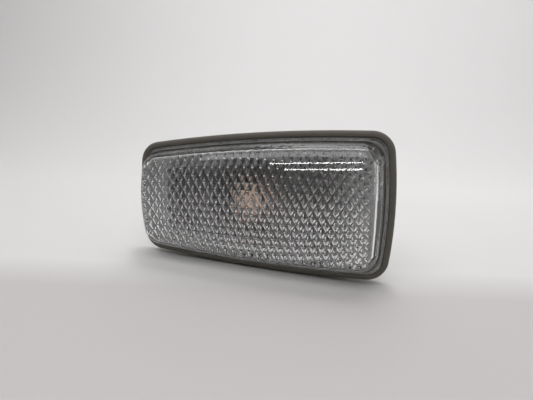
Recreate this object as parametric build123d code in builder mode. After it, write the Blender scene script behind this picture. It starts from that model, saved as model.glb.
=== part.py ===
from build123d import *
import math
import os

# Side repeater lamp for a front wing, in millimetres.
# X runs along the lamp to its tall end, Z is up, and the lens looks along -Y, out of the wing.
# Y = 0 is the outer face of the wing panel, so Plane.XZ.offset(h) lies h outside that face.

# Outline, taken on the outer edge of the gasket
CORNER_X = 41.0
END_BOW = 1.85
NARROW_HALF = 18.2
WIDE_HALF = 22.9
EDGE_BOW = 1.85
CORNER_RADIUS = 7.0

# Gasket
LIP_HEIGHT = 5.0
LIP_WIDTH = 2.1
LIP_ROUND = 1.3
LIP_CHAMFER = 0.4
SEAT_THICK = 1.6
SEAT_WIDTH = 1.7

# Lens
LENS_FIT = 0.1
LENS_HEIGHT = 15.4
LENS_DRAFT = 14.0
LENS_EDGE = 6.0
CROWN_LONG = 1200.0
CROWN_SHORT = 65.0
LENS_WALL = 2.0
LENS_FRONT = 3.2
DOME_CORNER = 4.4
FRONT_CORNER = 10.0
FOOT_PROUD = 0.4
FOOT_LEDGE = 0.7
FOOT_ROUND = 0.3

# Diamond optics on the inner face of the lens
PRISM_WIDTH = 2.6
PRISM_HEIGHT = 4.85
PRISM_END_HEIGHT = 3.4
PRISM_DEPTH = 1.0

# Housing
RIM_FIT = 0.1
RIM_DEPTH = 2.4
BOWL_LENGTH = 60.0
BOWL_INSET = 7.6
BOWL_CORNER = 5.0
BOWL_ROUND = 2.0
BOWL_DEPTH = 17.0
BOWL_DRAFT = 3.0
HOUSING_WALL = 1.8
BACK_WALL = 2.0

# Clips that hold the lamp in the panel's cut-out
PANEL_GRIP = 1.4
HOOK_REACH = 3.6
HOOK_WIDTH = 12.0
HOOK_TIP = 1.6
HOOK_ROOT = 4.0
TONGUE_GAP = 2.2
TONGUE_THICK = 1.4
TONGUE_WIDTH = 10.0
TONGUE_ROOT = 2.4
BARB_REACH = 2.2
BARB_LAND = 0.8
BARB_LENGTH = 5.0

# Twist lock between housing and bulb holder
APERTURE_RADIUS = 9.6
PLUG_CLEARANCE = 0.3
LUG_COUNT = 3
LUG_REACH = 2.0
LUG_ANGLE = 30.0
LUG_THICK = 1.8
LUG_PLAY = 0.2
NOTCH_CLEARANCE = 0.4
NOTCH_PLAY = 1.5
LOCK_TURN = 45.0
STOP_HEIGHT = 1.2
STOP_ANGLE = 8.0
STOP_PLAY = 2.0

# Bulb holder
PLUG_NOSE = 0.8
SEAL_THICK = 1.6
SEAL_WIDTH = 3.0
SEAL_CLEARANCE = 0.1
FLANGE_MARGIN = 0.6
FLANGE_THICK = 2.0
SOCKET_LENGTH = 18.0
SOCKET_HEIGHT = 10.0
SOCKET_WALL = 1.5
SOCKET_CORNER = 2.0
SOCKET_FLOOR = 6.0
SOCKET_DEPTH = 11.0
GRIP_THICK = 2.2
GRIP_DEPTH = 5.0
LATCH_HEIGHT = 1.0
LATCH_LENGTH = 3.5
LATCH_WIDTH = 5.0
LATCH_SETBACK = 3.0

# Capless bulb
BULB_RADIUS = 5.0
BULB_LENGTH = 26.5
BULB_SKIN = 0.7
WEDGE_WIDTH = 9.4
WEDGE_THICK = 2.1
WEDGE_LENGTH = 8.5
WEDGE_CLEARANCE = 0.1
PINCH_LENGTH = 3.0
GLASS_FLOOR = 1.5
FILAMENT_LENGTH = 4.4
FILAMENT_RADIUS = 0.35
FILAMENT_RISE = 6.0
LEAD_RADIUS = 0.2
LEAD_SETBACK = 1.2

# Contact strips
STRIP_WIDTH = 2.8
STRIP_THICK = 0.8
STRIP_SPACING = 7.6
STRIP_CLEARANCE = 0.05
STRIP_BEND = 2.5
BLADE_LENGTH = 8.0

# Sizes that follow from the values above
END_X = CORNER_X + END_BOW
MIDDLE_HALF = (NARROW_HALF + WIDE_HALF) / 2 + EDGE_BOW
FOOT_INSET = LIP_WIDTH + LENS_FIT
FOOT_TOP = LIP_HEIGHT + FOOT_PROUD
DOME_INSET = FOOT_INSET + FOOT_LEDGE
CORE_INSET = DOME_INSET + LENS_WALL
RIM_INSET = FOOT_INSET + LENS_WALL
RIM_SEAT = SEAT_THICK + RIM_DEPTH
BACK_INNER = BOWL_DEPTH - BACK_WALL
PLUG_RADIUS = APERTURE_RADIUS - PLUG_CLEARANCE
LUG_RADIUS = PLUG_RADIUS + LUG_REACH
LUG_BACK = BACK_INNER - LUG_PLAY
LUG_FRONT = LUG_BACK - LUG_THICK
PLUG_FRONT = LUG_FRONT - PLUG_NOSE
SEAL_INNER = PLUG_RADIUS + SEAL_CLEARANCE
SEAL_OUTER = SEAL_INNER + SEAL_WIDTH
FLANGE_FRONT = BOWL_DEPTH + SEAL_THICK
FLANGE_BACK = FLANGE_FRONT + FLANGE_THICK
FLANGE_RADIUS = SEAL_OUTER + FLANGE_MARGIN
SOCKET_BASE = FLANGE_BACK + SOCKET_FLOOR
SOCKET_MOUTH = SOCKET_BASE + SOCKET_DEPTH
WEDGE_END = PLUG_FRONT + WEDGE_LENGTH
BULB_TIP = WEDGE_END - BULB_LENGTH
SHOULDER = PLUG_FRONT - PINCH_LENGTH
GLASS_BASE = SHOULDER - GLASS_FLOOR
FILAMENT_Y = GLASS_BASE - FILAMENT_RISE
LEAD_LEVEL = WEDGE_THICK / 2 + LEAD_RADIUS
STRIP_LEVEL = LEAD_LEVEL + LEAD_RADIUS + STRIP_CLEARANCE + STRIP_THICK / 2
BEND_START = WEDGE_END + STRIP_THICK


def behind(depth: float) -> Plane:
    """Return the plane that lies a depth behind the panel's face, looking out of the wing."""
    return Plane.XZ.offset(-depth)


def lamp_outline(inset: float, corner: float = 0) -> Sketch:
    """Draw the lamp's tapered, bowed outline, drawn in by an inset, with sharp or rounded corners."""
    with BuildSketch() as shape:
        with BuildLine():
            ThreePointArc((-CORNER_X, -NARROW_HALF), (0, -MIDDLE_HALF), (CORNER_X, -WIDE_HALF))
            ThreePointArc((CORNER_X, -WIDE_HALF), (END_X, 0), (CORNER_X, WIDE_HALF))
            ThreePointArc((CORNER_X, WIDE_HALF), (0, MIDDLE_HALF), (-CORNER_X, NARROW_HALF))
            ThreePointArc((-CORNER_X, NARROW_HALF), (-END_X, 0), (-CORNER_X, -NARROW_HALF))
        make_face()
        if inset > 0:
            offset(amount=-inset, kind=Kind.INTERSECTION, mode=Mode.REPLACE)
        if corner > 0:
            fillet(shape.vertices(), radius=corner)
    return shape.sketch


def bowl_outline(inset: float) -> Sketch:
    """Draw the outline of the housing's bowl: the lamp's long edges cut to the bowl's length."""
    with BuildSketch() as shape:
        add(lamp_outline(BOWL_INSET + inset))
        Rectangle(BOWL_LENGTH - 2 * inset, 4 * WIDE_HALF, mode=Mode.INTERSECT)
        fillet(shape.vertices(), radius=BOWL_CORNER - inset)
    return shape.sketch


def dome(base: float, depth: float) -> Part:
    """Build the drafted, crowned dome from a base height, drawn in on its front and sides by a depth."""
    lean = math.radians(LENS_DRAFT)
    with BuildPart() as block:
        for height, corner in ((base, DOME_CORNER), (LENS_HEIGHT, FRONT_CORNER)):
            drawn = (height - FOOT_TOP) * math.tan(lean) + depth / math.cos(lean)
            with BuildSketch(Plane.XZ.offset(height)):
                add(lamp_outline(DOME_INSET + drawn, corner))
        loft()
        with Locations((0, CROWN_LONG - LENS_HEIGHT, 0)):
            Torus(CROWN_LONG - CROWN_SHORT, CROWN_SHORT - depth, mode=Mode.INTERSECT)
        fillet(block.faces().sort_by(Axis.Y)[0].edges(), radius=LENS_EDGE - depth)
    return block.part


def optic_point(column: int, row: int, depth: float) -> Vector:
    """Place a point of the diamond lattice on the crowned inner face, sunk into the lens by a depth."""
    x = column * PRISM_WIDTH / 2
    cell = PRISM_HEIGHT - (PRISM_HEIGHT - PRISM_END_HEIGHT) * (x / CORNER_X) ** 2
    z = row * cell / 2
    ring = CROWN_LONG - CROWN_SHORT + math.sqrt((CROWN_SHORT - LENS_FRONT) ** 2 - z**2)
    y = CROWN_LONG - LENS_HEIGHT - math.sqrt(ring**2 - x**2)
    return Vector(x, y - depth, z)


def diamond_facets() -> Shell:
    """Join the four-sided pits of the optics into one faceted skin that covers the whole lens."""
    reach = MIDDLE_HALF + EDGE_BOW - CORE_INSET
    columns = math.ceil(2 * (END_X - CORE_INSET) / PRISM_WIDTH)
    rows = math.ceil(2 * reach / PRISM_END_HEIGHT)
    facets = []
    for column in range(-columns, columns + 1):
        for row in range(-rows, rows + 1):
            pit = optic_point(column, row, PRISM_DEPTH)
            if (column + row) % 2 or abs(pit.Z) > reach:
                continue
            rim = [(column + 1, row), (column, row + 1), (column - 1, row), (column, row - 1)]
            corners = [optic_point(c, r, 0) for c, r in rim]
            for start, end in zip(corners, corners[1:] + corners[:1]):
                facets.append(Face(Wire.make_polygon([pit, start, end])))
    return Shell(facets)


def sectors(radius: float, angle: float, turn: float) -> Sketch:
    """Draw equal sectors around the bulb axis, one for each lug, turned as seen from the front."""
    half = math.radians(angle / 2)
    tip_x = radius * math.cos(half)
    tip_z = radius * math.sin(half)
    with BuildSketch() as sector:
        with BuildLine():
            Line((0, 0), (tip_x, -tip_z))
            ThreePointArc((tip_x, -tip_z), (radius, 0), (tip_x, tip_z))
            Line((tip_x, tip_z), (0, 0))
        make_face()
    with BuildSketch() as shape:
        with PolarLocations(0, LUG_COUNT, start_angle=turn):
            add(sector.sketch)
    return shape.sketch


def strip(side: int, clearance: float) -> Part:
    """Bend one contact strip from the bulb's wedge to its blade in the connector."""
    with BuildPart() as metal:
        with BuildSketch(Plane.YZ.offset(side * STRIP_SPACING / 2)):
            with BuildLine():
                Polyline(
                    (PLUG_FRONT + LEAD_SETBACK - clearance, side * STRIP_LEVEL),
                    (BEND_START, side * STRIP_LEVEL),
                    (BEND_START + STRIP_BEND, 0),
                    (SOCKET_BASE + BLADE_LENGTH, 0),
                )
            trace(line_width=STRIP_THICK + 2 * clearance)
        extrude(amount=STRIP_WIDTH / 2 + clearance, both=True)
    return metal.part


# Gasket: a rubber ring with a ledge under the lens foot and a rounded lip around it
with BuildPart() as gasket:
    with BuildSketch(Plane.XZ):
        add(lamp_outline(0, CORNER_RADIUS))
    extrude(amount=LIP_HEIGHT)
    fillet(gasket.faces().sort_by(Axis.Y)[0].edges(), radius=LIP_ROUND)
    with BuildSketch(Plane.XZ):
        add(lamp_outline(LIP_WIDTH + SEAT_WIDTH, CORNER_RADIUS - LIP_WIDTH))
    extrude(amount=LIP_HEIGHT, mode=Mode.SUBTRACT)
    with BuildSketch(Plane.XZ.offset(SEAT_THICK)):
        add(lamp_outline(LIP_WIDTH, CORNER_RADIUS - LIP_WIDTH))
    extrude(amount=LIP_HEIGHT - SEAT_THICK, mode=Mode.SUBTRACT)
    crest = gasket.faces().filter_by(Axis.Y).sort_by(Axis.Y)[0]
    chamfer(crest.inner_wires()[0].edges(), length=LIP_CHAMFER)

# Core: the hollow of the lens, the dome's own form inside its wall, with the optics pressed into its front
with BuildPart() as core:
    add(dome(RIM_SEAT, LENS_WALL))
    split(bisect_by=diamond_facets(), keep=Keep.ALL)
hollow = core.solids().sort_by(Axis.Y)[-1]

# Lens: a foot flange with a drafted, crowned dome on it
with BuildPart() as lens:
    with BuildSketch(Plane.XZ.offset(SEAT_THICK)):
        add(lamp_outline(FOOT_INSET, CORNER_RADIUS - FOOT_INSET))
    extrude(amount=FOOT_TOP - SEAT_THICK)
    fillet(lens.faces().sort_by(Axis.Y)[0].edges(), radius=FOOT_ROUND)
    add(dome(FOOT_TOP, 0))
    add(hollow, mode=Mode.SUBTRACT)
    with BuildSketch(Plane.XZ.offset(SEAT_THICK)):
        add(lamp_outline(RIM_INSET, CORNER_RADIUS - FOOT_INSET))
    extrude(amount=RIM_DEPTH, mode=Mode.SUBTRACT)

# Housing: flange inside the lens foot, drafted bowl, bayonet hole, lock stops and clips
with BuildPart() as housing:
    with BuildSketch(Plane.XZ.offset(SEAT_THICK)):
        add(lamp_outline(RIM_INSET + RIM_FIT, CORNER_RADIUS - FOOT_INSET))
    extrude(amount=RIM_DEPTH)
    with BuildSketch(Plane.XZ.offset(SEAT_THICK)):
        add(bowl_outline(0))
    extrude(amount=-(SEAT_THICK + BOWL_DEPTH), taper=BOWL_DRAFT)
    fillet(housing.faces().sort_by(Axis.Y)[-1].edges(), radius=BOWL_ROUND)
    with BuildSketch(Plane.XZ.offset(RIM_SEAT)):
        add(bowl_outline(HOUSING_WALL))
    extrude(amount=-(RIM_SEAT + BACK_INNER), taper=BOWL_DRAFT, mode=Mode.SUBTRACT)
    with BuildSketch(behind(BACK_INNER)):
        Circle(APERTURE_RADIUS)
        add(sectors(LUG_RADIUS + NOTCH_CLEARANCE, LUG_ANGLE + 2 * NOTCH_PLAY, -LOCK_TURN))
    extrude(amount=-BACK_WALL, mode=Mode.SUBTRACT)
    stop_offset = (LUG_ANGLE + STOP_ANGLE) / 2 + STOP_PLAY
    with BuildSketch(behind(BACK_INNER)):
        add(sectors(LUG_RADIUS, STOP_ANGLE, stop_offset))
        add(sectors(LUG_RADIUS, STOP_ANGLE, -LOCK_TURN - stop_offset))
        Circle(APERTURE_RADIUS, mode=Mode.SUBTRACT)
    extrude(amount=STOP_HEIGHT)
    hook_wall = HOUSING_WALL - BOWL_LENGTH / 2
    hook_tip = -BOWL_LENGTH / 2 - HOOK_REACH
    with BuildSketch(Plane.XY):
        with BuildLine():
            Polyline(
                (hook_wall, PANEL_GRIP),
                (hook_tip, PANEL_GRIP),
                (hook_tip, PANEL_GRIP + HOOK_TIP),
                (hook_wall, PANEL_GRIP + HOOK_ROOT),
                close=True,
            )
        make_face()
    extrude(amount=HOOK_WIDTH / 2, both=True)
    tongue_wall = BOWL_LENGTH / 2 - HOUSING_WALL
    tongue_in = BOWL_LENGTH / 2 + TONGUE_GAP
    tongue_out = tongue_in + TONGUE_THICK
    with BuildSketch(Plane.XY):
        with BuildLine():
            Polyline(
                (tongue_wall, BOWL_DEPTH),
                (tongue_out - TONGUE_THICK, BOWL_DEPTH),
                (tongue_out, BOWL_DEPTH - TONGUE_THICK),
                (tongue_out, PANEL_GRIP + BARB_LENGTH),
                (tongue_out + BARB_REACH, PANEL_GRIP + BARB_LAND),
                (tongue_out + BARB_REACH, PANEL_GRIP),
                (tongue_in, PANEL_GRIP),
                (tongue_in, BOWL_DEPTH - TONGUE_ROOT),
                (tongue_wall, BOWL_DEPTH - TONGUE_ROOT),
                close=True,
            )
        make_face()
    extrude(amount=TONGUE_WIDTH / 2, both=True)

# Bulb holder: plug with bayonet lugs, sealing flange, wedge socket and connector
with BuildPart() as holder:
    with BuildSketch(behind(PLUG_FRONT)):
        Circle(PLUG_RADIUS)
    extrude(amount=PLUG_FRONT - FLANGE_FRONT)
    with BuildSketch(behind(LUG_FRONT)):
        add(sectors(LUG_RADIUS, LUG_ANGLE, 0))
    extrude(amount=-LUG_THICK)
    with BuildSketch(behind(FLANGE_FRONT)):
        Circle(FLANGE_RADIUS)
    extrude(amount=-FLANGE_THICK)
    with BuildSketch(behind(FLANGE_BACK)):
        Rectangle(2 * (SEAL_OUTER - GRIP_THICK), GRIP_THICK)
        RectangleRounded(SOCKET_LENGTH, SOCKET_HEIGHT, SOCKET_CORNER)
    extrude(amount=-GRIP_DEPTH)
    with BuildSketch(behind(FLANGE_BACK)):
        RectangleRounded(SOCKET_LENGTH, SOCKET_HEIGHT, SOCKET_CORNER)
    extrude(amount=FLANGE_BACK - SOCKET_MOUTH)
    with BuildSketch(Plane.YZ):
        with BuildLine():
            Polyline(
                (SOCKET_MOUTH - LATCH_SETBACK, SOCKET_HEIGHT / 2),
                (SOCKET_MOUTH - LATCH_SETBACK - LATCH_LENGTH, SOCKET_HEIGHT / 2),
                (SOCKET_MOUTH - LATCH_SETBACK - LATCH_LENGTH, SOCKET_HEIGHT / 2 + LATCH_HEIGHT),
                close=True,
            )
        make_face()
    extrude(amount=LATCH_WIDTH / 2, both=True)
    with BuildSketch(behind(SOCKET_BASE)):
        RectangleRounded(
            SOCKET_LENGTH - 2 * SOCKET_WALL, SOCKET_HEIGHT - 2 * SOCKET_WALL, SOCKET_CORNER - SOCKET_WALL / 2
        )
    extrude(amount=-SOCKET_DEPTH, mode=Mode.SUBTRACT)
    with BuildSketch(behind(PLUG_FRONT)):
        Rectangle(WEDGE_WIDTH + 2 * WEDGE_CLEARANCE, 2 * (LEAD_LEVEL + LEAD_RADIUS + WEDGE_CLEARANCE))
    extrude(amount=-WEDGE_LENGTH, mode=Mode.SUBTRACT)
    add(strip(1, STRIP_CLEARANCE), mode=Mode.SUBTRACT)
    add(strip(-1, STRIP_CLEARANCE), mode=Mode.SUBTRACT)

# Holder seal: a flat rubber ring between the housing's back wall and the holder's flange
with BuildPart() as seal:
    with BuildSketch(behind(BOWL_DEPTH)):
        Circle(SEAL_OUTER)
        Circle(SEAL_INNER, mode=Mode.SUBTRACT)
    extrude(amount=-SEAL_THICK)

# Bulb glass: a domed envelope pinched flat into the wedge base
with BuildPart() as glass:
    with BuildSketch(Plane.XY):
        with BuildLine():
            Line((0, BULB_TIP), (0, SHOULDER))
            Line((0, SHOULDER), (BULB_RADIUS, SHOULDER))
            Line((BULB_RADIUS, SHOULDER), (BULB_RADIUS, BULB_TIP + BULB_RADIUS))
            RadiusArc((BULB_RADIUS, BULB_TIP + BULB_RADIUS), (0, BULB_TIP), BULB_RADIUS)
        make_face()
    revolve(axis=Axis.Y)
    with BuildSketch(behind(SHOULDER)):
        Circle(BULB_RADIUS)
    with BuildSketch(behind(PLUG_FRONT)):
        Rectangle(WEDGE_WIDTH, WEDGE_THICK)
    loft()
    with BuildSketch(behind(PLUG_FRONT)):
        Rectangle(WEDGE_WIDTH, WEDGE_THICK)
    extrude(amount=-WEDGE_LENGTH)
    bore = BULB_RADIUS - BULB_SKIN
    with BuildSketch(Plane.XY):
        with BuildLine():
            Line((0, BULB_TIP + BULB_SKIN), (0, GLASS_BASE))
            Line((0, GLASS_BASE), (bore, GLASS_BASE))
            Line((bore, GLASS_BASE), (bore, BULB_TIP + BULB_RADIUS))
            RadiusArc((bore, BULB_TIP + BULB_RADIUS), (0, BULB_TIP + BULB_SKIN), bore)
        make_face()
    revolve(axis=Axis.Y, mode=Mode.SUBTRACT)

# Bulb leads: two posts inside the glass and two ends folded over the wedge
with BuildPart() as leads:
    with BuildSketch(behind(FILAMENT_Y)):
        with GridLocations(FILAMENT_LENGTH, 0, 2, 1):
            Circle(LEAD_RADIUS)
    extrude(amount=FILAMENT_Y - GLASS_BASE)
    with BuildSketch(behind(PLUG_FRONT + LEAD_SETBACK)):
        with Locations((STRIP_SPACING / 2, LEAD_LEVEL), (-STRIP_SPACING / 2, -LEAD_LEVEL)):
            Circle(LEAD_RADIUS)
    extrude(amount=2 * LEAD_SETBACK - WEDGE_LENGTH)

# Filament: the coil between the two posts
with BuildPart() as filament:
    with BuildSketch(Plane.YZ):
        with Locations((FILAMENT_Y + FILAMENT_RADIUS, 0)):
            Circle(FILAMENT_RADIUS)
    extrude(amount=FILAMENT_LENGTH / 2 - LEAD_RADIUS, both=True)

with BuildPart() as live:
    add(strip(1, 0))

with BuildPart() as earth:
    add(strip(-1, 0))

pieces = {
    "lens": lens,
    "gasket": gasket,
    "housing": housing,
    "bulb_holder": holder,
    "holder_seal": seal,
    "bulb_glass": glass,
    "bulb_leads": leads,
    "bulb_filament": filament,
    "contact_live": live,
    "contact_earth": earth,
}
os.makedirs("parts", exist_ok=True)
for label, piece in pieces.items():
    piece.part.label = label
    export_step(piece.part, f"parts/{label}.step")
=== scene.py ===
"""Studio scene of a side repeater lamp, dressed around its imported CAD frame.

Each sub-assembly of the lamp is a class that builds its own meshes or dresses its CAD nodes, and each
finish is a small class that makes one procedural material. Sizes of the lamp are in millimetres and become
metres where a mesh is written. X runs along the lamp to its tall end, Z is up and the lens looks along -Y,
so a height is a distance along -Y. The studio around the lamp is in metres.
"""

import logging
import math
from dataclasses import dataclass, field
from enum import Enum
from typing import Any

import bmesh
import bpy
import numpy as np
from mathutils import Matrix, Vector

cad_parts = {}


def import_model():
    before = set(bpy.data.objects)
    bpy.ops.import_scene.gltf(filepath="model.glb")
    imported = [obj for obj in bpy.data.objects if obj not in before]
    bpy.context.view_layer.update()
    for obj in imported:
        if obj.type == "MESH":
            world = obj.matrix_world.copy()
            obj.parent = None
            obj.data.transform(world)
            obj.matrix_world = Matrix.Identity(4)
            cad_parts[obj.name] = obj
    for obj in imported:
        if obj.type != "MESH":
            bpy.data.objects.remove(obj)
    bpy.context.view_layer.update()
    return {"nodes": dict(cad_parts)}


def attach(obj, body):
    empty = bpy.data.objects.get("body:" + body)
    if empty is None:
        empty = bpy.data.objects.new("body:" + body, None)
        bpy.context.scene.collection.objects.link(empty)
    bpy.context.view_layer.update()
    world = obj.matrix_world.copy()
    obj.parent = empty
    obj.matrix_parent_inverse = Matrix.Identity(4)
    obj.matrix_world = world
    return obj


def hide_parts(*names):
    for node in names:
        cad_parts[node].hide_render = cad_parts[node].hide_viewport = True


MM = 0.001
Colour = tuple[float, float, float]
log = logging.getLogger("side_repeater")


class Body(Enum):
    """The two bodies of the lamp: what is fixed to the wing, and what twists out of it."""

    LAMP = "lamp"
    HOLDER = "holder"


class Graph:
    """A node tree under construction, with short calls that add and wire its nodes."""

    def __init__(self, tree: bpy.types.NodeTree) -> None:
        """Take over a node tree and empty it."""
        self.tree = tree
        tree.nodes.clear()

    def add(self, kind: str, inputs: dict[Any, Any] | None = None, **settings: Any) -> bpy.types.Node:
        """Add one node.

        Args:
            kind: The node's type, without Blender's "ShaderNode" in front.
            inputs: Values or output sockets, by the name or number of the input they go to.
            settings: Attributes of the node itself.

        Returns:
            The new node.
        """
        node = self.tree.nodes.new("ShaderNode" + kind)
        for name, value in settings.items():
            setattr(node, name, value)
        for name, value in (inputs or {}).items():
            if isinstance(value, bpy.types.NodeSocket):
                self.tree.links.new(value, node.inputs[name])
            else:
                node.inputs[name].default_value = value
        return node

    def place(self) -> bpy.types.NodeSocket:
        """Give the place on the surface, in metres, in the lamp's own frame."""
        return self.add("TexCoord").outputs["Object"]

    def noise(self, where: bpy.types.NodeSocket, scale: float, detail: float = 3.0) -> bpy.types.NodeSocket:
        """Add a cloudy pattern.

        Args:
            where: The place on the surface.
            scale: Clouds for each metre.
            detail: Octaves of finer clouds.

        Returns:
            A value from 0 to 1.
        """
        return self.add("TexNoise", {"Vector": where, "Scale": scale, "Detail": detail}).outputs["Fac"]

    def span(self, value: bpy.types.NodeSocket, low: float, high: float,
             start: float = 0.3, end: float = 0.7) -> bpy.types.NodeSocket:
        """Stretch a value to a new range.

        Args:
            value: The value to stretch.
            low: Result at the start of the old range.
            high: Result at the end of the old range.
            start: Start of the old range.
            end: End of the old range.

        Returns:
            The stretched value, held inside the new range.
        """
        limits = {"Value": value, "From Min": start, "From Max": end, "To Min": low, "To Max": high}
        return self.add("MapRange", limits).outputs["Result"]

    def tones(self, value: bpy.types.NodeSocket, stops: list[tuple[float, Colour]]) -> bpy.types.NodeSocket:
        """Turn a value into a colour through a ramp.

        Args:
            value: The value that picks the colour.
            stops: Places along the ramp with their colours, in order.

        Returns:
            The colour.
        """
        node = self.add("ValToRGB", {"Fac": value})
        ramp = node.color_ramp
        while len(ramp.elements) < len(stops):
            ramp.elements.new(0.5)
        for element, (place, colour) in zip(ramp.elements, stops):
            element.position = place
            element.color = (*colour, 1.0)
        return node.outputs["Color"]

    def sums(self, kind: str, first: Any, second: Any) -> bpy.types.NodeSocket:
        """Work out one sum of two values, such as "ADD" or "MULTIPLY"."""
        return self.add("Math", {0: first, 1: second}, operation=kind).outputs["Value"]

    def bump(self, height: bpy.types.NodeSocket, depth: float,
             under: bpy.types.NodeSocket | None = None) -> bpy.types.NodeSocket:
        """Raise the surface by a pattern.

        Args:
            height: The pattern, from 0 to 1.
            depth: Height of the relief in metres.
            under: Normal of a coarser relief that this one lies on.

        Returns:
            The bumped normal.
        """
        inputs = {"Height": height, "Distance": depth, "Strength": 1.0}
        if under is not None:
            inputs["Normal"] = under
        return self.add("Bump", inputs).outputs["Normal"]


@dataclass(frozen=True)
class Finish:
    """A finish that makes one procedural material."""

    name: str

    def shade(self, graph: Graph) -> bpy.types.NodeSocket:
        """Wire the finish's nodes and return its shader."""
        raise NotImplementedError

    def material(self) -> bpy.types.Material:
        """Make the material.

        Returns:
            A material with this finish's nodes.
        """
        made = bpy.data.materials.new(self.name)
        made.use_nodes = True
        graph = Graph(made.node_tree)
        graph.add("OutputMaterial", {"Surface": self.shade(graph)})
        return made


@dataclass(frozen=True)
class Moulded(Finish):
    """Matte moulded rubber or plastic: two close tones, a fine grain and an uneven sheen."""

    deep: Colour
    pale: Colour
    mottle: float = 120.0
    grain: float = 2600.0
    relief: float = 0.00006
    smooth: float = 0.42
    rough: float = 0.62
    specular: float = 0.4

    def shade(self, graph: Graph) -> bpy.types.NodeSocket:
        """Wire mottled tones, fine grain and a broken sheen.

        Args:
            graph: The empty node tree to fill.

        Returns:
            The finished shader.
        """
        where = graph.place()
        clouds = graph.noise(where, self.mottle, 6.0)
        specks = graph.noise(where, self.grain, 2.0)
        both = graph.sums("ADD", graph.sums("MULTIPLY", clouds, 0.7), graph.sums("MULTIPLY", specks, 0.3))
        normal = graph.bump(specks, self.relief)
        inputs = {
            "Base Color": graph.tones(both, [(0.35, self.deep), (0.65, self.pale)]),
            "Roughness": graph.span(both, self.smooth, self.rough),
            "Specular IOR Level": self.specular,
            "Normal": normal,
        }
        return graph.add("BsdfPrincipled", inputs).outputs["BSDF"]


@dataclass(frozen=True)
class GasketRubber(Finish):
    """Olive-grey seal rubber, greyer and darker on faces that look front or back as painted shade, browner
    and lighter round its edges, partly its own olive tone and partly painted light, with a fine dry grain.
    """

    # Painted shade and light: crest is the darker tone for faces that look front or back, edge the lighter,
    # browner tone for side-facing edges, partly the rubber's own olive tone.
    crest: Colour = (0.113, 0.103, 0.087)
    edge: Colour = (0.180, 0.158, 0.118)
    dusty: Colour = (0.135, 0.132, 0.118)
    dust_scale: float = 170.0
    grain_scale: float = 3800.0
    swirl_scale: float = 240.0
    grain_depth: float = 0.00005
    swirl_depth: float = 0.00009

    def shade(self, graph: Graph) -> bpy.types.NodeSocket:
        """Wire the two tones by the way the surface faces, painted shade on faces that look front or back and
        painted light on side-facing edges, then dust and grain over them.

        Args:
            graph: The empty node tree to fill.

        Returns:
            The finished shader.
        """
        where = graph.place()
        facing = graph.add("SeparateXYZ", {0: graph.add("NewGeometry").outputs["Normal"]}).outputs["Y"]
        flat = graph.add("Math", {0: facing}, operation="ABSOLUTE").outputs["Value"]
        # Painted light and shade: the colour follows which way the surface faces, not where the lamps shine.
        tone_with_painted_light = graph.tones(flat, [(0.2, self.edge), (0.65, self.crest)])
        dust = graph.span(graph.noise(where, self.dust_scale, 8.0), 0.0, 0.3, 0.5, 0.75)
        mixed = graph.add("Mix", {"Factor": dust, 6: tone_with_painted_light, 7: (*self.dusty, 1.0)}, data_type="RGBA")
        grain = graph.noise(where, self.grain_scale, 2.0)
        swirl = graph.bump(graph.noise(where, self.swirl_scale), self.swirl_depth)
        inputs = {
            "Base Color": mixed.outputs[2],
            "Roughness": graph.span(grain, 0.55, 0.75),
            "Specular IOR Level": 0.35,
            "Normal": graph.bump(grain, self.grain_depth, swirl),
        }
        return graph.add("BsdfPrincipled", inputs).outputs["BSDF"]


@dataclass(frozen=True)
class ClearPlastic(Finish):
    """Clear moulding with a faint flow ripple and a little handling haze, or a frosted one."""

    tint: Colour = (0.985, 0.99, 0.99)
    bend: float = 1.5
    flow_scale: float = 28.0
    ripple: float = 0.00012
    haze_scale: float = 420.0
    clean: float = 0.0
    hazy: float = 0.03
    clear: float = 1.0
    shadow: float = 0.8

    def shade(self, graph: Graph) -> bpy.types.NodeSocket:
        """Wire the clear body, its ripple and haze, and the part of the light that it lets through.

        Args:
            graph: The empty node tree to fill.

        Returns:
            The finished shader.
        """
        where = graph.place()
        flow = graph.noise(where, self.flow_scale, 1.0)
        specks = graph.noise(where, self.haze_scale, 6.0)
        haze = graph.span(specks, self.clean, self.hazy, 0.55, 0.8)
        inputs = {
            "Base Color": (*self.tint, 1.0),
            "Roughness": haze,
            "IOR": self.bend,
            "Transmission Weight": self.clear,
            "Normal": graph.bump(flow, self.ripple),
        }
        solid = graph.add("BsdfPrincipled", inputs).outputs["BSDF"]
        passed = tuple(part * self.shadow for part in self.tint)
        through = graph.add("BsdfTransparent", {"Color": (*passed, 1.0)}).outputs["BSDF"]
        shadow = graph.add("LightPath").outputs["Is Shadow Ray"]
        return graph.add("MixShader", {0: shadow, 1: solid, 2: through}).outputs["Shader"]


@dataclass(frozen=True)
class AmberGlass(Finish):
    """Bulb glass with an amber lacquer that lies a little unevenly."""

    thin: Colour = (0.94, 0.75, 0.64)
    thick: Colour = (0.91, 0.66, 0.52)
    streak_scale: float = 260.0
    bend: float = 1.5
    clear: float = 0.45

    def shade(self, graph: Graph) -> bpy.types.NodeSocket:
        """Wire the lacquer's uneven tint on glass, with about half of its light scattered.

        Args:
            graph: The empty node tree to fill.

        Returns:
            The finished shader.
        """
        where = graph.place()
        streaks = graph.noise(where, self.streak_scale, 4.0)
        colour = graph.tones(streaks, [(0.3, self.thin), (0.7, self.thick)])
        inputs = {
            "Base Color": colour,
            "Roughness": graph.span(streaks, 0.05, 0.16),
            "IOR": self.bend,
            "Transmission Weight": self.clear,
        }
        solid = graph.add("BsdfPrincipled", inputs).outputs["BSDF"]
        through = graph.add("BsdfTransparent", {"Color": colour}).outputs["BSDF"]
        shadow = graph.add("LightPath").outputs["Is Shadow Ray"]
        return graph.add("MixShader", {0: shadow, 1: solid, 2: through}).outputs["Shader"]


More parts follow.
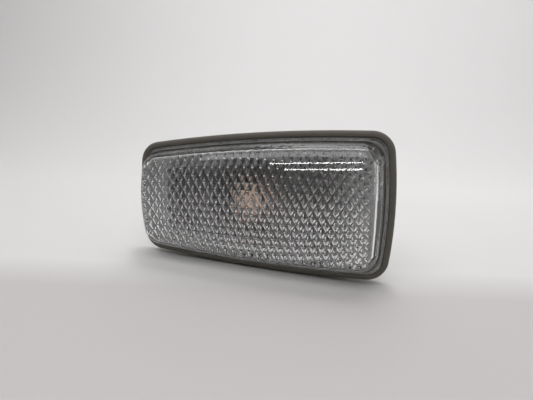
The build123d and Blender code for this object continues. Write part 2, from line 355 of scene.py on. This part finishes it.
@dataclass(frozen=True)
class DrawnMetal(Finish):
    """Drawn wire or rolled strip: fine lines along the metal and spots of tarnish."""

    bright: Colour
    dull: Colour
    line_scale: tuple[float, float, float] = (400.0, 40.0, 4000.0)
    line_depth: float = 0.00001
    spot_scale: float = 900.0
    smooth: float = 0.22
    rough: float = 0.42

    def shade(self, graph: Graph) -> bpy.types.NodeSocket:
        """Wire drawn lines and tarnish on bare metal.

        Args:
            graph: The empty node tree to fill.

        Returns:
            The finished shader.
        """
        where = graph.place()
        stretched = graph.add("Mapping", {"Vector": where, "Scale": self.line_scale}).outputs["Vector"]
        lines = graph.noise(stretched, 1.0, 4.0)
        spots = graph.noise(where, self.spot_scale, 5.0)
        inputs = {
            "Base Color": graph.tones(spots, [(0.42, self.bright), (0.72, self.dull)]),
            "Metallic": 1.0,
            "Roughness": graph.span(lines, self.smooth, self.rough),
            "Normal": graph.bump(lines, self.line_depth),
        }
        return graph.add("BsdfPrincipled", inputs).outputs["BSDF"]


@dataclass(frozen=True)
class StagePaper(Finish):
    """Pale matte paper of the floor and backdrop: darker in front of the lamp, glowing softly behind it."""

    near: Colour = (0.58, 0.56, 0.555)
    far: Colour = (0.77, 0.76, 0.757)
    edge: tuple[float, float] = (-0.022, -0.004)
    cloud_scale: float = 14.0
    glow: float = 0.1
    glow_start: tuple[float, float] = (0.0, 0.12)
    glow_rise: tuple[float, float] = (0.0, 0.13)
    glow_width: tuple[float, float] = (-0.25, 0.25)

    def shade(self, graph: Graph) -> bpy.types.NodeSocket:
        """Wire the two tones with faint clouds, and a glow that grows backwards, upwards and to the right.

        Args:
            graph: The empty node tree to fill.

        Returns:
            The finished shader.
        """
        where = graph.place()
        place = graph.add("SeparateXYZ", {0: where})
        clouds = graph.noise(where, self.cloud_scale, 5.0)
        depth = graph.span(place.outputs["Y"], 0.0, 0.96, *self.edge)
        share = graph.sums("ADD", depth, graph.span(clouds, 0.0, 0.04))
        behind = graph.span(place.outputs["Y"], 0.0, self.glow, *self.glow_start)
        upward = graph.span(place.outputs["Z"], 1.0, 1.6, *self.glow_rise)
        rightward = graph.span(place.outputs["X"], 0.45, 1.5, *self.glow_width)
        inputs = {
            "Base Color": graph.tones(share, [(0.0, self.near), (1.0, self.far)]),
            "Roughness": graph.span(clouds, 0.5, 0.6),
            "Specular IOR Level": 0.25,
            "Emission Color": (1.0, 0.99, 0.99, 1.0),
            "Emission Strength": graph.sums("MULTIPLY", graph.sums("MULTIPLY", behind, upward), rightward),
        }
        return graph.add("BsdfPrincipled", inputs).outputs["BSDF"]


@dataclass(frozen=True)
class Outline:
    """The lamp's tapered, bowed outline as seen from the front."""

    corner_x: float = 41.0
    end_bow: float = 1.85
    narrow_half: float = 18.2
    wide_half: float = 22.9
    edge_bow: float = 1.85
    side_steps: int = 48
    corner_steps: int = 20

    def corners(self) -> list[np.ndarray]:
        """Give the sharp corners: low and high at the tall end, then high and low at the narrow end."""
        x, low, high = self.corner_x, self.narrow_half, self.wide_half
        return [np.array(c) for c in ((x, -high), (x, high), (-x, low), (-x, -low))]

    def sides(self) -> list[tuple[np.ndarray, float]]:
        """Find the circles that the bottom, tall end, top and narrow end lie on.

        Returns:
            The centre and radius of each circle.
        """
        middle = (self.narrow_half + self.wide_half) / 2 + self.edge_bow
        end = self.corner_x + self.end_bow
        crests = ((0, -middle), (end, 0), (0, middle), (-end, 0))
        points = self.corners()
        found = []
        for number, crest in enumerate(crests):
            trio = np.array([points[number - 1], crest, points[number]])
            rows = np.column_stack([2 * trio, np.ones(3)])
            a, b, c = np.linalg.solve(rows, (trio**2).sum(axis=1))
            found.append((np.array([a, b]), math.sqrt(c + a * a + b * b)))
        return found

    def pivots(self, depth: float) -> list[np.ndarray]:
        """Find the centres of the rounded corners.

        Args:
            depth: How far inside the outline the centres lie.

        Returns:
            One centre for each corner.
        """
        sides = self.sides()
        found = []
        for number, corner in enumerate(self.corners()):
            (first, r1), (second, r2) = sides[number], sides[(number + 1) % 4]
            r1, r2 = r1 - depth, r2 - depth
            axis = second - first
            gap = np.linalg.norm(axis)
            along = (gap**2 + r1**2 - r2**2) / (2 * gap)
            across = math.sqrt(r1**2 - along**2)
            axis = axis / gap
            turned = np.array([-axis[1], axis[0]])
            both = [first + along * axis + sign * across * turned for sign in (1, -1)]
            found.append(min(both, key=lambda point: np.linalg.norm(point - corner)))
        return found

    def ring(self, inset: float, corner: float) -> np.ndarray:
        """Sample the outline.

        Args:
            inset: How far the ring lies inside the outline.
            corner: Radius of its corners.

        Returns:
            One row for each sample: x, z and the outward normal's x and z.
        """
        sides, pivots = self.sides(), self.pivots(inset + corner)
        rows = []

        def arc(centre: np.ndarray, radius: float, start: np.ndarray, end: np.ndarray, steps: int) -> None:
            """Add one arc's samples, without its last point.

            Args:
                centre: Centre of the arc.
                radius: Its radius.
                start: Direction of its first point from the centre.
                end: Direction of its last point from the centre.
                steps: Number of samples.
            """
            first = math.atan2(start[1], start[0])
            turn = (math.atan2(end[1], end[0]) - first) % (2 * math.pi)
            for step in range(steps):
                angle = first + turn * step / steps
                normal = (math.cos(angle), math.sin(angle))
                rows.append((*(centre + radius * np.array(normal)), *normal))

        for number, (centre, radius) in enumerate(sides):
            after = sides[(number + 1) % 4][0]
            pivot = pivots[number]
            arc(centre, radius - inset, pivots[number - 1] - centre, pivot - centre, self.side_steps)
            arc(pivot, corner, pivot - centre, pivot - after, self.corner_steps)
        return np.array(rows)

    def nearest(self, points: np.ndarray, inset: float, corner: float) -> tuple[np.ndarray, np.ndarray]:
        """Measure how far points lie outside a ring.

        Args:
            points: One row of x and z for each point.
            inset: The ring's inset.
            corner: The ring's corner radius.

        Returns:
            The distances, negative inside, and the outward normals of the nearest places.
        """
        sides, pivots = self.sides(), self.pivots(inset + corner)
        reach = [points - centre for centre, _ in sides]
        length = [np.linalg.norm(r, axis=1) for r in reach]
        gaps = np.array([size - (side[1] - inset) for size, side in zip(length, sides)])
        pick = gaps.argmax(axis=0)
        every = np.arange(len(points))
        distance = gaps[pick, every]
        normals = np.array([r / size[:, None] for r, size in zip(reach, length)])[pick, every]
        for number, pivot in enumerate(pivots):
            first = pivot - sides[number][0]
            second = pivot - sides[(number + 1) % 4][0]
            spoke = points - pivot
            turn_in = first[0] * spoke[:, 1] - first[1] * spoke[:, 0]
            turn_out = spoke[:, 0] * second[1] - spoke[:, 1] * second[0]
            size = np.maximum(np.linalg.norm(spoke, axis=1), 1e-9)
            held = (turn_in > 0) & (turn_out > 0)
            distance[held] = (size - corner)[held]
            normals[held] = (spoke / size[:, None])[held]
        return distance, normals


def write_mesh(name: str, bm: bmesh.types.BMesh, crease: float) -> bpy.types.Object:
    """Turn a finished bmesh into a smooth-shaded object.

    Args:
        name: The piece's name.
        bm: The finished mesh, in metres. It is freed.
        crease: Edges that bend by more than this angle, in degrees, stay sharp.

    Returns:
        The new object, linked to the scene.
    """
    mesh = bpy.data.meshes.new(name)
    bm.to_mesh(mesh)
    bm.free()
    mesh.polygons.foreach_set("use_smooth", [True] * len(mesh.polygons))
    mesh.set_sharp_from_angle(angle=math.radians(crease))
    made = bpy.data.objects.new(name, mesh)
    bpy.context.scene.collection.objects.link(made)
    return made


def join_rings(bm: bmesh.types.BMesh, rings: list[np.ndarray]) -> list[list[bmesh.types.BMVert]]:
    """Skin a row of closed rings that have equal numbers of points.

    Args:
        bm: The mesh to add to.
        rings: The rings, in order, in millimetres.

    Returns:
        The vertices of each ring.
    """
    made = [[bm.verts.new(Vector(point) * MM) for point in ring] for ring in rings]
    for low, high in zip(made, made[1:]):
        for number in range(len(low)):
            bm.faces.new((low[number - 1], low[number], high[number], high[number - 1]))
    return made


class LensFace(Enum):
    """The lens's two finishes, by the number of their material."""

    POLISHED = 0
    FROSTED = 1


@dataclass
class Lens:
    """The clear lens: foot flange, drafted dome with a crowned front, and the diamond optics inside it."""

    outline: Outline
    polished: ClearPlastic
    frosted: ClearPlastic
    seat: float = 1.6
    foot_inset: float = 2.2
    foot_corner: float = 4.8
    foot_top: float = 5.4
    foot_round: float = 0.3
    dome_inset: float = 2.9
    dome_corner: float = 7.2
    root_corner: float = 4.4
    root_round: float = 0.25
    draft: float = math.tan(math.radians(14.0))
    height: float = 15.35
    edge: float = 6.0
    crown_long: float = 1200.0
    crown_short: float = 65.0
    front_wall: float = 3.2
    core_inset: float = 4.6
    core_draft: float = math.tan(math.radians(14.0))
    core_corner: float = 5.5
    rim_inset: float = 4.2
    rim_seat: float = 4.0
    cell_width: float = 2.6
    cell_height: float = 4.85
    cell_end_height: float = 3.4
    cell_depth: float = 1.0
    ridge_power: float = 8.0
    pit_round: float = 0.1
    crest_round: float = 0.12
    core_round: float = 4.0
    wall: float = 2.0
    wrap: tuple[float, float] = (-0.8, -0.5)
    cell_steps: int = 12
    foot_steps: int = 4
    root_steps: int = 3
    edge_steps: int = 14
    cap_steps: int = 16
    fit_steps: int = 8
    snap_steps: int = 4
    weld: float = 0.002
    crease: float = 25.0

    def crown(self, points: np.ndarray, below: float) -> np.ndarray:
        """Give the height of the crowned front, or of a surface at a constant distance below it.

        Args:
            points: One row of x and z for each place.
            below: Distance below the outer face.

        Returns:
            The heights.
        """
        x, z = points[:, 0], points[:, 1]
        ring = self.crown_long - self.crown_short + np.sqrt((self.crown_short - below) ** 2 - z**2)
        return self.height - self.crown_long + np.sqrt(ring**2 - x**2)

    def crown_normal(self, points: np.ndarray) -> np.ndarray:
        """Give the crown's outward normals.

        Args:
            points: One row of x and z for each place.

        Returns:
            One row of x, z and height for each place.
        """
        x, z = points[:, 0], points[:, 1]
        waist = self.crown_long - self.crown_short
        lift = self.crown(points, 0.0) - self.height + self.crown_long
        share = 1 - waist / np.hypot(x, lift)
        spoke = np.column_stack([x * share, z, lift * share])
        return spoke / np.linalg.norm(spoke, axis=1)[:, None]

    def shell_rings(self) -> list[np.ndarray]:
        """Work out the rings of the outer skin, from the foot's back face to the middle of the front.

        Returns:
            Rings of equal length, as rows of x, y and z.
        """
        rings = []

        def level(inset: float, corner: float, height: float) -> None:
            """Add a level ring."""
            row = self.outline.ring(inset, corner)
            rings.append(np.column_stack([row[:, 0], np.full(len(row), -height), row[:, 1]]))

        level(self.foot_inset, self.foot_corner, self.seat)
        for step in range(self.foot_steps + 1):
            turn = math.pi / 2 * step / self.foot_steps
            drawn = self.foot_round * (1 - math.cos(turn))
            rise = self.foot_top - self.foot_round * (1 - math.sin(turn))
            level(self.foot_inset + drawn, self.foot_corner - drawn, rise)
        slope = math.atan(self.draft)
        for step in range(self.root_steps + 1):
            turn = (math.pi / 2 - slope) * step / self.root_steps
            drawn = self.root_round * (math.sin(turn) - 1)
            rise = self.root_round * (1 - math.cos(turn))
            level(self.dome_inset + drawn, self.root_corner - drawn, self.foot_top + rise)

        base = self.outline.ring(self.dome_inset, self.dome_corner)
        place, normal = base[:, :2], base[:, 2:]
        rise = np.full(len(base), self.height - 2 * self.edge)
        for _ in range(self.fit_steps):
            inset = (rise - self.foot_top) * self.draft + self.edge / math.cos(slope)
            centre = place - inset[:, None] * normal
            rise = self.crown(centre, self.edge)
        wall = np.column_stack([normal * math.cos(slope), np.full(len(base), math.sin(slope))])
        front = self.crown_normal(centre)
        bend = np.arccos(np.clip((wall * front).sum(axis=1), -1, 1))
        for step in range(self.edge_steps + 1):
            share = step / self.edge_steps
            mix = np.sin((1 - share) * bend)[:, None] * wall + np.sin(share * bend)[:, None] * front
            reach = self.edge * mix / np.sin(bend)[:, None]
            rings.append(np.column_stack([centre[:, 0] + reach[:, 0], -rise - reach[:, 2],
                                          centre[:, 1] + reach[:, 1]]))
        last = rings[-1][:, [0, 2]]
        for step in range(1, self.cap_steps):
            inner = last * (1 - step / self.cap_steps)
            rings.append(np.column_stack([inner[:, 0], -self.crown(inner, 0.0), inner[:, 1]]))
        return rings

    def build_shell(self, bm: bmesh.types.BMesh) -> None:
        """Skin the outside of the lens and close the middle of its front.

        Args:
            bm: The lens's mesh.
        """
        rings = join_rings(bm, self.shell_rings())
        middle = bm.verts.new(Vector((0.0, -self.height, 0.0)) * MM)
        for number in range(len(rings[-1])):
            bm.faces.new((rings[-1][number - 1], rings[-1][number], middle))

    def lattice(self, points: np.ndarray) -> tuple[np.ndarray, np.ndarray]:
        """Turn places on the lens into diamond coordinates, which are even numbers at the cells' middles.

        Args:
            points: One row of x and z for each place.

        Returns:
            The two coordinates along the diamonds' edges.
        """
        x, z = points[:, 0], points[:, 1]
        u = x / (self.cell_width / 2)
        v = z / (self.cell_size(x) / 2)
        return u + v, u - v

    def cell_size(self, x: np.ndarray) -> np.ndarray:
        """Give the height of the diamonds, which shrinks towards both ends of the lamp."""
        return self.cell_height - (self.cell_height - self.cell_end_height) * (x / self.outline.corner_x) ** 2

    def hollow(self, points: np.ndarray) -> tuple[np.ndarray, np.ndarray]:
        """Give the smooth front of the hollow, with its round between front and wall.

        Args:
            points: One row of x and z for each place.

        Returns:
            The heights, and how far each place lies beyond the top of the hollow's drafted wall.
        """
        gap, normal = self.outline.nearest(points, self.core_inset, self.core_corner)
        deep = -gap
        front = self.crown(points, self.wall)
        nudge = 0.01
        fall = (front - self.crown(points + nudge * normal, self.wall)) / nudge
        slope, lean, size = math.atan(self.core_draft), np.arctan(fall), self.core_round
        reach = size / math.cos(slope)
        ahead = reach - self.rim_seat * self.core_draft - deep
        rise = (front + fall * ahead - size / np.cos(lean)) / (1 - fall * self.core_draft)
        middle = (rise - self.rim_seat) * self.core_draft + reach
        touch = middle - size * np.sin(lean)
        bowed = rise + np.sqrt(np.maximum(size**2 - (middle - deep) ** 2, 0.0))
        return np.where(deep >= touch, front, bowed), middle - size * math.cos(slope) - deep

    def optic(self, points: np.ndarray) -> np.ndarray:
        """Give the height of the optics: four-sided pits with rounded ridges, also round the narrow end.

        Args:
            points: One row of x and z for each place.

        Returns:
            The heights.
        """
        ways = [np.abs((way + 1) % 2 - 1) for way in self.lattice(points)]
        power, bottom, crest = self.ridge_power, self.pit_round, self.crest_round
        off = np.minimum((ways[0] ** power + ways[1] ** power) ** (1 / power), 1.0)
        off = np.hypot(off, bottom) - bottom
        top = math.hypot(1, bottom) - bottom
        slope = np.hypot(top - off, crest) - crest
        pits = self.cell_depth * slope / (math.hypot(top, crest) - crest)
        _, normal = self.outline.nearest(points, self.core_inset, self.core_corner)
        wrapped = np.interp(normal[:, 0], self.wrap, (1.0, 0.0)) * pits
        return np.minimum(self.crown(points, self.front_wall) + pits, self.hollow(points)[0] + wrapped)

    def past_wall(self, points: np.ndarray) -> tuple[np.ndarray, np.ndarray]:
        """Measure how far places lie beyond the top of the hollow's drafted wall.

        Args:
            points: One row of x and z for each place.

        Returns:
            The distances, negative inside, and the outward normals of the wall.
        """
        _, normal = self.outline.nearest(points, self.core_inset, self.core_corner)
        return self.hollow(points)[1], normal

    def cell_grid(self) -> tuple[np.ndarray, np.ndarray]:
        """Lay a fine grid over the diamonds and snap its border to the top of the hollow's wall.

        Returns:
            One row of x and z for each place of the grid, and one row of four places for each face.
        """
        cell = np.sin(np.linspace(-1, 1, self.cell_steps + 1) * math.pi / 2)
        across = self.outline.corner_x / self.cell_width
        upward = 2 * self.outline.wide_half / self.cell_end_height
        reach = 2 * math.ceil((across + upward) / 2 + 2)
        ways = np.concatenate([cell[:-1] + middle for middle in range(-reach, reach + 1, 2)])
        p, q = np.meshgrid(ways, ways, indexing="ij")
        x = (p + q) / 2 * self.cell_width / 2
        z = (p - q) / 2 * self.cell_size(x) / 2
        near = (np.abs(x) < self.outline.corner_x) & (np.abs(z) < self.outline.wide_half)
        x, z = np.where(near, x, 0.0), np.where(near, z, 0.0)
        points = np.column_stack([x.ravel(), z.ravel()])
        near = near.ravel()
        inside = (self.past_wall(points)[0] < 0) & near
        count = len(ways)
        index = np.arange(count * count).reshape(count, count)
        around = [index[:-1, :-1], index[1:, :-1], index[1:, 1:], index[:-1, 1:]]
        quads = np.stack(around, axis=-1).reshape(-1, 4)
        kept = quads[inside[quads].any(axis=1) & near[quads].all(axis=1)]
        used, numbers = np.unique(kept, return_inverse=True)
        points = points[used]
        for _ in range(self.snap_steps):
            gap, normal = self.past_wall(points)
            points = points - np.maximum(gap, 0.0)[:, None] * normal
        return points, numbers.reshape(-1, 4)

    def build_optics(self, bm: bmesh.types.BMesh) -> list[bmesh.types.BMEdge]:
        """Press the diamonds into the front of the hollow.

        Args:
            bm: The lens's mesh.

        Returns:
            The open border of the diamonds.
        """
        points, quads = self.cell_grid()
        rise = self.optic(points)
        verts = [bm.verts.new((x * MM, -height * MM, z * MM)) for (x, z), height in zip(points, rise)]
        faces = [bm.faces.new([verts[number] for number in quad]) for quad in quads]
        skin = dict.fromkeys(edge for face in faces for edge in face.edges)
        return [edge for edge in skin if edge.is_boundary]

    def build_wall(self, bm: bmesh.types.BMesh, border: list[bmesh.types.BMEdge]) -> None:
        """Draw the hollow's wall from the diamonds down to its rim.

        Args:
            bm: The lens's mesh.
            border: The open border of the diamonds.
        """
        steps = (
            (self.core_inset, self.core_corner, self.rim_seat, LensFace.POLISHED),
            (self.rim_inset, self.foot_corner, self.rim_seat, LensFace.FROSTED),
            (self.rim_inset, self.foot_corner, self.seat, LensFace.FROSTED),
        )
        for inset, corner, height, finish in steps:
            grown = bmesh.ops.extrude_edge_only(bm, edges=border)["geom"]
            for part in grown:
                if isinstance(part, bmesh.types.BMFace):
                    part.material_index = finish.value
            fresh = [part for part in grown if isinstance(part, bmesh.types.BMVert)]
            border = [part for part in grown if isinstance(part, bmesh.types.BMEdge)]
            places = np.array([(vert.co.x, vert.co.z) for vert in fresh]) / MM
            gap, normal = self.outline.nearest(places, inset, corner)
            for vert, (x, z) in zip(fresh, places - gap[:, None] * normal):
                vert.co = Vector((x, -height, z)) * MM

    def build(self) -> bpy.types.Object:
        """Build the closed lens.

        Returns:
            The lens, riding on the lamp in place of its CAD node.
        """
        bm = bmesh.new()
        self.build_shell(bm)
        self.build_wall(bm, self.build_optics(bm))
        bmesh.ops.remove_doubles(bm, verts=bm.verts, dist=self.weld * MM)
        back = bmesh.ops.bridge_loops(bm, edges=[edge for edge in bm.edges if edge.is_boundary])
        for face in back["faces"]:
            face.material_index = LensFace.FROSTED.value
        bmesh.ops.recalc_face_normals(bm, faces=bm.faces)
        piece = write_mesh("clear_lens", bm, self.crease)
        piece.data.materials.append(self.polished.material())
        piece.data.materials.append(self.frosted.material())
        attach(piece, Body.LAMP.value)
        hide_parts("lens")
        return piece


@dataclass
class Filament:
    """The bulb's filament: one wire wound into a close coil between its two posts."""

    finish: DrawnMetal
    level: float = 2.05
    length: float = 4.0
    tail: float = 0.15
    coil: float = 0.29
    wire: float = 0.06
    turns: int = 18
    steps: int = 20
    sides: int = 8
    crease: float = 50.0

    def build(self) -> bpy.types.Object:
        """Wind the coil.

        Returns:
            The coil, riding on the bulb holder in place of its CAD node.
        """
        turn = np.linspace(0.0, 2 * math.pi * self.turns, self.turns * self.steps + 1)
        reach = self.length / 2 - self.tail
        turn = np.concatenate([[0.0], turn, [turn[-1]]])
        half = self.length / 2
        along = np.concatenate([[-half], np.linspace(-reach, reach, len(turn) - 2), [half]])
        spoke = np.column_stack([np.zeros(len(turn)), np.cos(turn), np.sin(turn)])
        core = np.column_stack([along, np.full(len(turn), self.level), np.zeros(len(turn))])
        path = core + self.coil * spoke
        way = np.gradient(path, axis=0)
        aside = np.cross(way / np.linalg.norm(way, axis=1)[:, None], spoke)
        round_wire = np.linspace(0.0, 2 * math.pi, self.sides, endpoint=False)
        rings = [p + self.wire * (np.outer(np.cos(round_wire), s) + np.outer(np.sin(round_wire), a))
                 for p, s, a in zip(path, spoke, aside)]
        bm = bmesh.new()
        skin = join_rings(bm, rings)
        bm.faces.new(skin[0])
        bm.faces.new(skin[-1][::-1])
        bmesh.ops.recalc_face_normals(bm, faces=bm.faces)
        piece = write_mesh("filament_coil", bm, self.crease)
        piece.data.materials.append(self.finish.material())
        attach(piece, Body.HOLDER.value)
        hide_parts("bulb_filament")
        return piece


@dataclass
class DressedNodes:
    """CAD nodes whose shape is right and that only take a finish."""

    finishes: dict[str, Finish] = field(default_factory=dict)

    def dress(self, nodes: dict[str, bpy.types.Object]) -> list[bpy.types.Object]:
        """Give each node its finish.

        Args:
            nodes: The frame's CAD nodes by name.

        Returns:
            The dressed nodes.
        """
        done = []
        made: dict[str, bpy.types.Material] = {}
        for name, finish in self.finishes.items():
            if finish.name not in made:
                made[finish.name] = finish.material()
            node = nodes[name]
            node.data.materials.clear()
            node.data.materials.append(made[finish.name])
            done.append(node)
        return done


@dataclass
class PhotoCamera:
    """The camera as it stood for the photograph."""

    azimuth: float = 15.0307
    elevation: float = 10.5247
    roll: float = 0.233
    aside: float = -1.8028
    above: float = 0.1059
    distance: float = 127.3809
    focal: float = 378.17
    image_width: float = 533.0
    sensor: float = 36.0
    nearest: float = 5.0

    def build(self) -> bpy.types.Object:
        """Set up the scene's camera.

        Returns:
            The camera object.
        """
        turn, lift, tilt = (math.radians(a) for a in (self.azimuth, self.elevation, self.roll))
        back = Vector((math.sin(turn) * math.cos(lift), -math.cos(turn) * math.cos(lift), math.sin(lift)))
        right = Vector((math.cos(turn), math.sin(turn), 0.0))
        up = back.cross(right)
        place = (back * self.distance - right * self.aside - up * self.above) * MM
        rolled = right * math.cos(tilt) + up * math.sin(tilt)
        raised = up * math.cos(tilt) - right * math.sin(tilt)
        data = bpy.data.cameras.new("camera")
        data.sensor_width = self.sensor
        data.lens = self.focal / self.image_width * self.sensor
        data.clip_start = self.nearest * MM
        camera = bpy.data.objects.new("camera", data)
        axes = Matrix((rolled, raised, back)).transposed().to_4x4()
        camera.matrix_world = Matrix.Translation(place) @ axes
        bpy.context.scene.collection.objects.link(camera)
        bpy.context.scene.camera = camera
        return camera


class Role(Enum):
    """Where a lamp shows: anywhere, not through clear pieces, as sheen only, or on matte faces only."""

    EVERYTHING = "everything"
    SURFACE = "surface"
    SHEEN = "sheen"
    MATTE = "matte"


@dataclass(frozen=True)
class SoftLamp:
    """A flat studio lamp that faces the middle of the scene."""

    name: str
    place: tuple[float, float, float]
    size: tuple[float, float]
    radiance: float
    roll: float = 0.0
    role: Role = Role.EVERYTHING

    def build(self) -> bpy.types.Object:
        """Hang the lamp.

        Returns:
            The lamp, which shines only on what its role names.
        """
        data = bpy.data.lights.new(self.name, "AREA")
        data.shape = "RECTANGLE"
        data.size, data.size_y = self.size
        data.energy = self.radiance * math.pi * data.size * data.size_y
        lamp = bpy.data.objects.new(self.name, data)
        lamp.location = self.place
        lamp.rotation_euler = (-Vector(self.place)).to_track_quat("-Z", "Y").to_euler()
        lamp.rotation_euler.rotate_axis("Z", math.radians(self.roll))
        lamp.visible_diffuse = self.role is not Role.SHEEN
        lamp.visible_glossy = self.role is not Role.MATTE
        lamp.visible_transmission = self.role is Role.EVERYTHING
        bpy.context.scene.collection.objects.link(lamp)
        return lamp


@dataclass
class Studio:
    """The pale sweep that the lamp stands on, and the soft light around it."""

    floor_level: float = -0.02236
    floor_tilt: float = 3.28
    floor_lean: float = 4.0
    azimuth: float = 15.03
    sweep_start: float = 0.10
    sweep_radius: float = 0.20
    width: float = 2.4
    depth: float = 1.3
    wall_height: float = 0.45
    sweep_steps: int = 24
    crease: float = 60.0
    tent_front: float = 0.1
    tent_back: float = 1.0
    tent_side: float = 0.55
    tent_top: float = 0.22
    tent_depth: tuple[float, float] = (-0.8, 0.2)
    tent_rise: tuple[float, float] = (0.0, 0.9)

    def build_sweep(self) -> bpy.types.Object:
        """Build the floor and backdrop as one curved sheet.

        Returns:
            The sheet.
        """
        profile = [(-self.depth, 0.0), (self.sweep_start * 0.5, 0.0)]
        for step in range(self.sweep_steps + 1):
            turn = math.pi / 2 * step / self.sweep_steps
            profile.append((self.sweep_start + self.sweep_radius * math.sin(turn),
                            self.sweep_radius * (1 - math.cos(turn))))
        profile.append((self.sweep_start + self.sweep_radius, self.wall_height))
        bm = bmesh.new()
        rows = [[bm.verts.new((side * self.width / 2, y, z + self.floor_level)) for side in (-1, 1)]
                for y, z in profile]
        for low, high in zip(rows, rows[1:]):
            bm.faces.new((low[0], low[1], high[1], high[0]))
        sheet = write_mesh("sweep", bm, self.crease)
        sheet.rotation_mode = "ZYX"
        turns = (self.floor_lean, self.floor_tilt, self.azimuth)
        sheet.rotation_euler = tuple(math.radians(angle) for angle in turns)
        sheet.data.materials.append(StagePaper("stage_paper").material())
        return sheet

    def build_world(self) -> None:
        """Light the whole scene like a tent: bright at the back, dim overhead and dark at its open front."""
        world = bpy.data.worlds.new("tent")
        bpy.context.scene.world = world
        world.use_nodes = True
        graph = Graph(world.node_tree)
        way = graph.add("SeparateXYZ", {0: graph.add("TexCoord").outputs["Generated"]})
        front = graph.span(way.outputs["Y"], self.tent_front, self.tent_back, *self.tent_depth)
        top = graph.span(way.outputs["Z"], self.tent_side, self.tent_top, *self.tent_rise)
        inputs = {"Color": (1.0, 0.995, 0.99, 1.0), "Strength": graph.sums("MULTIPLY", front, top)}
        shader = graph.add("Background", inputs).outputs["Background"]
        graph.add("OutputWorld", {"Surface": shader})

    def build_lamps(self) -> list[bpy.types.Object]:
        """Hang the two front strips, the side panel and the soft lights in front and above.

        Returns:
            The lamps.
        """
        lamps = (
            SoftLamp("strip_high", (0.002, -0.31, 0.1255), (0.150, 0.006), 22.0, roll=6.5, role=Role.SHEEN),
            SoftLamp("strip_low", (0.010, -0.31, 0.0975), (0.124, 0.0055), 22.0, roll=4.0, role=Role.SHEEN),
            SoftLamp("front_soft", (0.0, -0.25, 0.36), (0.5, 0.22), 2.9, role=Role.SURFACE),
            SoftLamp("side_panel", (0.38, 0.02, 0.06), (0.08, 0.20), 3.0),
            SoftLamp("overhead", (0.06, 0.10, 0.5), (0.4, 0.2), 2.5, role=Role.SURFACE),
            SoftLamp("key", (0.03, 0.05, 0.5), (0.10, 0.05), 29.0, role=Role.MATTE),
        )
        return [lamp.build() for lamp in lamps]


def main() -> None:
    """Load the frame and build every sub-assembly in order."""
    logging.basicConfig(level=logging.INFO, format="%(message)s")
    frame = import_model()
    bpy.context.scene.view_settings.view_transform = "Standard"
    camera = PhotoCamera().build()
    log.info("camera %s", camera.name)
    studio = Studio()
    log.info("stage %s", studio.build_sweep().name)
    studio.build_world()
    for lamp in studio.build_lamps():
        log.info("light %s", lamp.name)
    frosted = ClearPlastic("frosted_plastic", tint=(0.8, 0.8, 0.8), clean=0.4, hazy=0.55, clear=0.25)
    lens = Lens(Outline(), ClearPlastic("clear_plastic"), frosted).build()
    log.info("piece %s, %d faces", lens.name, len(lens.data.polygons))
    filament = Filament(DrawnMetal("filament_wire", (0.34, 0.34, 0.35), (0.22, 0.22, 0.23))).build()
    log.info("piece %s, %d faces", filament.name, len(filament.data.polygons))
    brass = DrawnMetal("contact_metal", (0.74, 0.62, 0.40), (0.50, 0.40, 0.25))
    dressed = DressedNodes({
        "gasket": GasketRubber("gasket_rubber"),
        "housing": Moulded("housing_plastic", (0.27, 0.27, 0.27), (0.34, 0.34, 0.34)),
        "bulb_holder": Moulded("holder_plastic", (0.09, 0.09, 0.093), (0.125, 0.125, 0.125)),
        "holder_seal": Moulded("seal_rubber", (0.016, 0.016, 0.016), (0.027, 0.027, 0.026),
                               smooth=0.6, rough=0.8),
        "bulb_glass": AmberGlass("amber_glass"),
        "bulb_leads": DrawnMetal("lead_wire", (0.60, 0.58, 0.55), (0.40, 0.38, 0.35)),
        "contact_live": brass,
        "contact_earth": brass,
    })
    for node in dressed.dress(frame["nodes"]):
        log.info("node %s", node.name)


if __name__ == "__main__":
    main()
